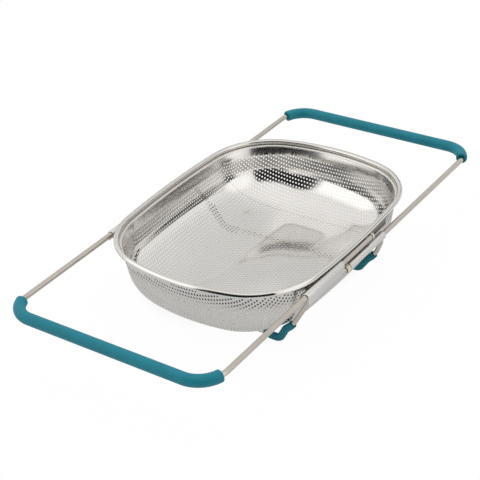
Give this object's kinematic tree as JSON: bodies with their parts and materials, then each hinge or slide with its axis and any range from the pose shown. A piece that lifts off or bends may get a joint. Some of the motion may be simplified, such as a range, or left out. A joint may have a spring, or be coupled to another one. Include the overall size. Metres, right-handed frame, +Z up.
{
  "type": "over-the-sink colander",
  "caption": "Perforated pressed steel colander with two sliding wire handles that span a sink, and two bent foot wires in silicone sleeves.",
  "frame": {"origin": "on the table, under the middle of the whole colander with the handles as in the picture", "axes": "+Z up, +X from the front handle to the rear handle, the rods lie along X, +Y to the far side"},
  "size_m": [0.5236, 0.2484, 0.0785],
  "materials": {
    "polished_steel": "polished",
    "satin_steel": "satin",
    "wire_steel": "bright nickel",
    "teal_silicone": "matt",
    "cream_nylon": "matt"
  },
  "bodies": {
    "basket": {"bowl_basket": "polished_steel", "rim_ring": "polished_steel", "slide_plate_near": "satin_steel", "slide_plate_far": "satin_steel", "rolled_guide_near": "satin_steel", "rolled_guide_far": "satin_steel", "tube_guide_near": "satin_steel", "tube_guide_far": "satin_steel", "hanger_tab_front_near": "satin_steel", "hanger_tab_front_far": "satin_steel", "hanger_tab_rear_near": "satin_steel", "hanger_tab_rear_far": "satin_steel", "front_foot_wire": "wire_steel", "rear_foot_wire": "wire_steel", "foot_sleeve_front_near": "teal_silicone", "foot_sleeve_front_far": "teal_silicone", "foot_sleeve_rear_near": "teal_silicone", "foot_sleeve_rear_far": "teal_silicone"},
    "front_handle": {"front_handle_rod": "wire_steel", "front_grip": "teal_silicone", "front_stop_near": "satin_steel", "front_stop_far": "satin_steel"},
    "rear_handle": {"rear_handle_rod": "wire_steel", "rear_grip": "teal_silicone", "rear_stop_near": "cream_nylon", "rear_stop_far": "cream_nylon"}
  },
  "joints": [
    {"name": "front_handle_slide", "type": "slide", "parent": "basket", "child": "front_handle", "axis": [-1, 0, 0], "range_m": [-0.1, 0.0575]},
    {"name": "rear_handle_slide", "type": "slide", "parent": "basket", "child": "rear_handle", "axis": [1, 0, 0], "range_m": [-0.058, 0]}
  ]
}
